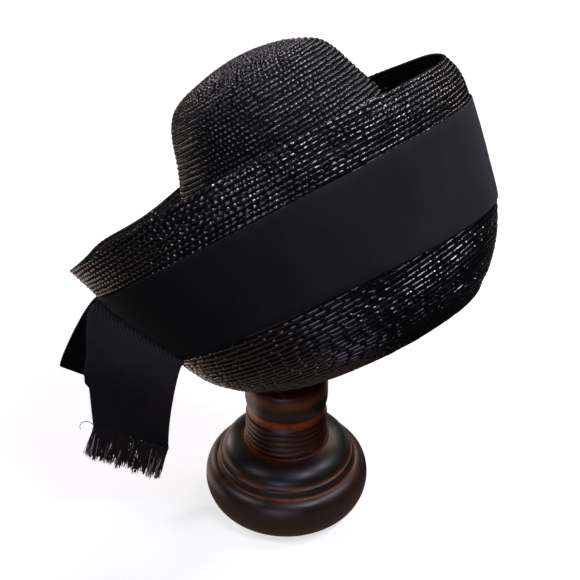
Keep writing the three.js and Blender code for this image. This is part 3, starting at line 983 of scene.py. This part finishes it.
def ribbed_sheet(name, middle, settings, material, fade_and_shading):
    """A ribbon laid on a fine field of points middle[across, along], ribbed across and closed all round.
    Its fading is a table of shares of its length and how faded the dye is there, with painted shade and
    painted light in it."""
    rib = settings.rib / MM
    stops, length = even_steps(middle[middle.shape[0] // 2], rib / RIB_POINTS)
    low = np.minimum(np.floor(stops).astype(int), middle.shape[1] - 2)
    share = (stops - low)[None, :, None]
    field = middle[:, low] * (1 - share) + middle[:, low + 1] * share
    across, along = np.gradient(field, axis=0), np.gradient(field, axis=1)
    normal = unit(np.cross(across, along))
    number = np.arange(field.shape[1])
    wave = (1 - np.cos(FULL_TURN * number / RIB_POINTS)) / 2
    # The selvedges stand out a little at each rib, and both ends close
    edge = unit(across)
    field = field.copy()
    field[0] -= edge[0] * (SELVEDGE * wave[:, None])
    field[-1] += edge[-1] * (SELVEDGE * wave[:, None])
    half = RIBBON / 2 - settings.relief / MM * (1 - wave)
    half[[0, -1]] = 0.0
    sides = np.ones(field.shape[0])
    sides[[0, -1]] = SELVEDGE_THICK
    rise = normal * (sides[:, None] * half[None, :])[..., None]
    points = np.concatenate((field + rise, (field - rise)[::-1], (field + rise)[:1]))
    width = np.linalg.norm(np.diff(field, axis=0), axis=-1).sum(0).mean()
    u = np.linspace(0, width, field.shape[0])
    u = np.concatenate((u, u[::-1], u[:1])) * MM
    v = number / RIB_POINTS * settings.rib
    uv = np.stack(np.broadcast_arrays(v[None, :], u[:, None]), -1)
    fade_and_shading = np.interp(number / number[-1], *np.transpose(fade_and_shading))
    piece = laid_sheet(name, points, uv, material, fade_and_shading[None, :])
    return piece, width * MM, length * MM


def rolled_ribbon(root, out, fall, roll, u, end, fallen):
    """The fold that rolls a ribbon over the band, and the ribbon's fall from there to its end."""
    start, leaving, above, end = falling_ribbon(root, out, fall, u, end)
    angle = np.radians(blend_pair(root, u))
    along = unit(placed(band_face(u, angle + 0.01, np.full_like(u, GAP + RIBBON + GAP))) - start)
    away = unit(leaving - start)
    roll = blend_pair(roll, u)[:, None]
    bend = np.linspace(0, math.pi, ROLL_POINTS)[:-1]
    arc = along[:, None] * np.sin(bend)[None, :, None] + away[:, None] * (1 - np.cos(bend))[None, :, None]
    rolled = start[:, None] + arc * roll[:, None]
    top = start + 2 * roll * away
    leaving = leaving + away * roll - along * 2 * roll
    return rolled, bezier((top, leaving, above, end), fallen)


def tail_field(u):
    """The tail's middle face, from its fold to its frayed end."""
    end = TAIL_LEFT + np.outer(u, TAIL_ACROSS)
    fall = np.linspace(0, 1, TAIL_POINTS)
    rolled, hung = rolled_ribbon(TAIL_ROOT, TAIL_OUT, TAIL_FALL, TAIL_ROLL, u, end, fall)
    # The left selvedge swells a little beside the loop's fold and springs back below it
    swell = np.interp(fall, TAIL_SWELL_SPAN, (0, TAIL_SWELL, TAIL_SWELL, 0))
    left = np.exp(-((u / TAIL_SWELL_REACH) ** 2))
    hung = hung - unit(TAIL_ACROSS) * (left[:, None] * swell[None, :])[..., None]
    return np.concatenate((rolled, hung), 1)


def loop_field(u):
    """The loop goes down in front, turns round its fold, and comes back up behind."""
    end = LOOP_LEFT + np.outer(u, LOOP_ACROSS)
    behind = end + LOOP_BEHIND * LOOP_APART
    fall = np.linspace(0, 1, LOOP_POINTS)
    front = rolled_ribbon(LOOP_FRONT_ROOT, LOOP_OUT, LOOP_FALL, LOOP_ROLL, u, end, fall)
    back = bezier(falling_ribbon(LOOP_BACK_ROOT, LOOP_OUT, LOOP_FALL, u, behind), fall)
    bend = np.linspace(0, math.pi, FOLD_POINTS)[1:-1]
    folded = end[:, None, :] + np.outer(LOOP_APART / 2 * (1 - np.cos(bend)), LOOP_BEHIND)[None]
    folded[..., 2] -= LOOP_APART / 2 * np.sin(bend)[None, :]
    return np.concatenate((*front, folded, back[:, ::-1]), 1)


class STRAW_HAT_OT_bow(bpy.types.Operator):
    """Builds the hanging tail and the folded loop of ribbon at the back"""

    bl_idname = "straw_hat.bow"
    bl_label = "Bow"

    def execute(self, context):
        settings = context.scene.ribbon_settings
        taut = ribbon_material(context, "rayon grosgrain")
        hanging = ribbon_material(context, "rayon grosgrain on the bias")
        u = np.linspace(0, 1, ACROSS_POINTS)
        loop, width, length = ribbed_sheet("bow_loop_ribbon", loop_field(u), settings, taut, LOOP_FADE_AND_SHADING)
        keep(loop, "ribbon", "bow_loop")
        tail, width, length = ribbed_sheet("bow_tail_ribbon", tail_field(u), settings, hanging, TAIL_FADE_AND_SHADING)
        keep(tail, "ribbon", "bow_tail")
        bpy.ops.straw_hat.fringe()
        return {"FINISHED"}


def thread_mesh(name, lines, thickness, material):
    """Bare threads as thin tubes along lines of points."""
    curve = bpy.data.curves.new(name, "CURVE")
    curve.dimensions = "3D"
    curve.bevel_depth = thickness / 2
    curve.bevel_resolution = 0
    curve.use_fill_caps = True
    for line in lines:
        spline = curve.splines.new("POLY")
        spline.points.add(len(line) - 1)
        spline.points.foreach_set("co", np.column_stack((line * MM, np.ones(len(line)))).ravel())
    curve.materials.append(material)
    linked(name, curve)
    bpy.ops.object.convert(target="MESH")
    return bpy.context.object


class STRAW_HAT_OT_fringe(bpy.types.Operator):
    """Builds the frayed end of the tail, thread by thread, in locks"""

    bl_idname = "straw_hat.fringe"
    bl_label = "Frayed threads"

    def execute(self, context):
        settings = context.scene.ribbon_settings
        chance = np.random.default_rng(FRINGE_SEED)
        side = unit(TAIL_ACROSS)
        thick = unit(np.cross(side, FRINGE_HANG))
        t = np.linspace(0, 1, THREAD_POINTS)[:, None]
        dark, pale = [], []
        for lock in range(FRINGE_LOCKS):
            reach = FRINGE_LENGTH + LOCK_UNEVEN[0] * math.sin(LOCK_UNEVEN[1] * lock)
            sway = LOCK_SWAY[0] * math.sin(LOCK_SWAY[1] * lock)
            tip = (lock + LOCK_TIP + chance.uniform(-LOCK_TIP_UNEVEN, LOCK_TIP_UNEVEN)) / FRINGE_LOCKS
            for _ in range(settings.threads):
                u = (lock + chance.uniform(-LOCK_OVERLAP, 1 + LOCK_OVERLAP)) / FRINGE_LOCKS
                u = min(max(u, THREAD_EDGE), 1 - THREAD_EDGE)
                root = TAIL_LEFT + TAIL_ACROSS * u + thick * chance.uniform(-RIBBON / 2, RIBBON / 2)
                tip_u = u + (tip - u) * chance.uniform(0.0, LOCK_GATHER)
                long = reach * chance.uniform(*THREAD_LENGTHS)
                across = TAIL_ACROSS * (tip_u - u) + side * (sway + chance.normal(0, THREAD_STRAY))
                curl = chance.uniform(0, FULL_TURN)
                wander = np.sin(curl + t * chance.uniform(*THREAD_WAVES)) - math.sin(curl)
                line = root + FRINGE_HANG * long * t + across * t**THREAD_BEND
                line = line + side * wander * THREAD_STRAY * t + thick * chance.normal(0, THREAD_STRAY) * t
                bare = max(share * (abs(u - place) < spread) for place, spread, share in BARE_THREADS)
                # A bleached thread is black down to some place on its way
                dyed = chance.integers(*DYE_ENDS) if chance.uniform() < bare else THREAD_POINTS - 1
                dark.append(line[: dyed + 1])
                if dyed < THREAD_POINTS - 1:
                    pale.append(line[dyed:])
        # One thread has sprung out of the selvedge and curls down beside it
        turn = np.linspace(0, SPRUNG_TURN, SPRUNG_POINTS)[:, None]
        rise = SPRUNG_UP * np.sin(turn) - SPRUNG_ROOT
        sprung = TAIL_LEFT + SPRUNG_WAY_OUT * (SPRUNG_OUT * (1 - np.cos(turn))) + SPRUNG_WAY_UP * rise
        dark.extend(sprung + way * SPRUNG_APART for way in (np.zeros(3), thick, SPRUNG_WAY_UP))
        black = bare_thread("black rayon thread", settings.colour)
        bleached = bare_thread("bleached rayon thread", settings.pale)
        fringe = thread_mesh("frayed_threads", dark, settings.thread, black)
        joined(fringe, thread_mesh("pale_threads", pale, settings.thread, bleached))
        bpy.ops.object.shade_smooth()
        keep(fringe, "ribbon", "tail_fringe")
        return {"FINISHED"}


def half_section(bottom, rows, steps):
    """Points of a turned half section, from the axis at the bottom to the axis at the top."""
    points = [np.array((0.0, bottom))]
    for row in rows:
        end = np.array(row[:2], float)
        if len(row) == 2:
            points.append(end)
            continue
        start, pull = points[-1], np.array(row[2:], float)
        for t in np.linspace(0, 1, steps + 1)[1:]:
            points.append((1 - t) ** 2 * start + 2 * t * (1 - t) * pull + t * t * end)
    if points[-1][0] > 0:
        points.append(np.array((0.0, points[-1][1])))
    return points


def turned_piece(name, section, settings, wear, material):
    """Draws a half section, spins it round the stand's axis and rounds its edges.
    Wear is a table of heights and how far the stain is rubbed through there; the foot's table also paints a
    reflection of the floor on its bottom band."""
    deselect()
    bpy.ops.mesh.primitive_plane_add(size=MM)
    piece = bpy.context.object
    piece.name = piece.data.name = name
    bpy.ops.object.mode_set(mode="EDIT")
    bpy.ops.mesh.select_all(action="SELECT")
    bpy.ops.mesh.merge(type="CENTER")
    bpy.ops.transform.translate(value=(section[0][0] * MM, 0, section[0][1] * MM))
    for start, end in zip(section[:-1], section[1:]):
        step = (end - start) * MM
        bpy.ops.mesh.extrude_vertices_move(TRANSFORM_OT_translate={"value": (step[0], 0, step[1])})
    bpy.ops.mesh.select_all(action="SELECT")
    bpy.ops.mesh.spin(steps=settings.facets, angle=FULL_TURN, center=(0, 0, 0), axis=(0, 0, 1))
    bpy.ops.object.mode_set(mode="OBJECT")
    turn_outwards(piece)
    bevel = piece.modifiers.new("Rounded edges", "BEVEL")
    bevel.width = settings.edge
    bevel.segments = 2
    bevel.limit_method = "ANGLE"
    bevel.angle_limit = math.radians(SHARP_EDGE)
    bpy.ops.object.modifier_apply(modifier=bevel.name)
    bpy.ops.object.shade_smooth_by_angle(angle=math.radians(SMOOTH_BELOW))
    mesh = piece.data
    co = np.empty(len(mesh.vertices) * 3, np.float32)
    mesh.vertices.foreach_get("co", co)
    heights, amounts = np.array(wear, float).T
    worn = np.interp(co[2::3] / MM, heights, amounts).astype(np.float32)
    mesh.attributes.new("worn", "FLOAT", "POINT").data.foreach_set("value", worn)
    mesh.materials.append(material)
    return piece


class STRAW_HAT_OT_stand(bpy.types.Operator):
    """Turns the stand's foot, column and post"""

    bl_idname = "straw_hat.stand"
    bl_label = "Stand"

    def execute(self, context):
        settings = context.scene.stand_settings
        material = stained_wood(settings)
        ring_rows = [(RING_GROOVE, COLUMN_LOW)]
        for reach, height in RINGS:
            middle = (ring_rows[-1][1] + height) / 2
            ring_rows.append((RING_GROOVE, height, 2 * reach - RING_GROOVE, middle))
        post_rows = (
            (POST_REACH, POST_LOW),
            (POST_REACH, POST_TOP - POST_REACH),
            (0, POST_TOP, POST_REACH, POST_TOP),
        )
        pieces = (
            ("stand_foot", half_section(0, FOOT_ROWS, FOOT_STEPS), FOOT_WEAR_AND_REFLECTION),
            ("stand_column", half_section(COLUMN_LOW, (*ring_rows, *BEAD_ROWS), COLUMN_STEPS), COLUMN_WEAR),
            ("stand_post", half_section(POST_LOW, post_rows, POST_STEPS), POST_WEAR),
        )
        for node, section, wear in pieces:
            piece = turned_piece(f"{node}_turned", section, settings, wear, material)
            keep(piece, "stained_wood", node)
        return {"FINISHED"}


def add_light(name, place, turn, width, watts, colour):
    """A round soft light that the camera doesn't see."""
    bpy.ops.object.light_add(type="AREA", location=place, rotation=turn)
    light = bpy.context.object
    light.name = name
    light.data.shape = "DISK"
    light.data.size = width
    light.data.energy = watts
    light.data.color = linear(colour)
    light.visible_camera = False


class STRAW_HAT_OT_stage(bpy.types.Operator):
    """Lays the plain floor, hangs the soft lights and sets the camera"""

    bl_idname = "straw_hat.stage"
    bl_label = "Stage"

    def execute(self, context):
        settings = context.scene.stage_settings
        deselect()
        bpy.ops.mesh.primitive_plane_add(size=FLOOR_WIDTH)
        floor = bpy.context.object
        floor.name = "floor"
        material, tree, shader = new_material("matt white board")
        white = rgba(settings.floor)
        wire(shader, {"Base Color": white, "Roughness": 0.9, "Specular IOR Level": 0.1})
        wire(shader, {"Emission Color": white, "Emission Strength": FLOOR_GLOW})
        dim = add_node(tree, "Emission", {"Color": white, "Strength": FLOOR_MIRRORED})
        seen = add_node(tree, "LightPath").outputs["Is Camera Ray"]
        board = add_node(tree, "MixShader", {0: seen, 1: dim, 2: shader})
        wire(tree.nodes["Material Output"], {"Surface": board})
        floor.data.materials.append(material)
        for name, right, up, away, width, watts, colour in LIGHTS:
            turn = Matrix.Rotation(math.radians(right), 3, "Z") @ Matrix.Rotation(math.radians(-up), 3, "X")
            towards = turn @ Vector((0, -1, 0))
            aim = towards.to_track_quat("Z", "Y").to_euler()
            add_light(name, LIGHT_AIM + away * towards, aim, width, watts, colour)
        for place, width, watts, colour in PATCHES:
            add_light("bright patch of floor", place, (math.pi, 0, 0), width, watts, colour)
        world = context.scene.world or bpy.data.worlds.new("daylight")
        context.scene.world = world
        world.use_nodes = True
        # The backdrop is white, and the room that the straw mirrors is dim
        sky = world.node_tree
        rays = add_node(sky, "LightPath").outputs["Is Camera Ray"]
        strength = add_node(sky, "MapRange", {"Value": rays, "To Min": settings.daylight, "To Max": 1.0})
        wire(sky.nodes["Background"], {"Color": (1, 1, 1, 1), "Strength": strength})
        tilt = (math.radians(90 - VIEW_DOWN), 0, 0)
        bpy.ops.object.camera_add(location=VIEW_FROM, rotation=tilt)
        camera = bpy.context.object
        camera.data.lens = VIEW_LENS
        camera.data.sensor_width = VIEW_FILM
        camera.data.clip_end = VIEW_REACH
        context.scene.camera = camera
        context.scene.view_settings.view_transform = "Standard"
        return {"FINISHED"}


class STRAW_HAT_PT_panel(bpy.types.Panel):
    """The hat's settings and the steps that build it"""

    bl_idname = "STRAW_HAT_PT_panel"
    bl_label = "Straw Hat"
    bl_space_type = "VIEW_3D"
    bl_region_type = "UI"
    bl_category = "Straw Hat"

    def draw(self, context):
        for name in SETTINGS:
            group = getattr(context.scene, name)
            box = self.layout.box()
            for setting in group.bl_rna.properties:
                if not setting.is_readonly and setting.identifier != "name":
                    box.prop(group, setting.identifier)
        for operator in OPERATORS:
            self.layout.operator(operator.bl_idname)


SETTINGS = {
    "straw_settings": StrawSettings,
    "ribbon_settings": RibbonSettings,
    "stand_settings": StandSettings,
    "stage_settings": StageSettings,
}
OPERATORS = (
    STRAW_HAT_OT_crown,
    STRAW_HAT_OT_brim,
    STRAW_HAT_OT_band,
    STRAW_HAT_OT_bow,
    STRAW_HAT_OT_fringe,
    STRAW_HAT_OT_stand,
    STRAW_HAT_OT_stage,
)


def register():
    for group in SETTINGS.values():
        bpy.utils.register_class(group)
    for operator in OPERATORS:
        bpy.utils.register_class(operator)
    bpy.utils.register_class(STRAW_HAT_PT_panel)
    for name, group in SETTINGS.items():
        setattr(bpy.types.Scene, name, bpy.props.PointerProperty(type=group))


def unregister():
    for name in SETTINGS:
        delattr(bpy.types.Scene, name)
    bpy.utils.unregister_class(STRAW_HAT_PT_panel)
    for made in (*reversed(OPERATORS), *reversed(SETTINGS.values())):
        bpy.utils.unregister_class(made)


def main():
    register()
    bpy.ops.straw_hat.stage()
    bpy.ops.straw_hat.crown()
    bpy.ops.straw_hat.brim()
    bpy.ops.straw_hat.band()
    bpy.ops.straw_hat.bow()
    bpy.ops.straw_hat.stand()


if __name__ == "__main__":
    main()
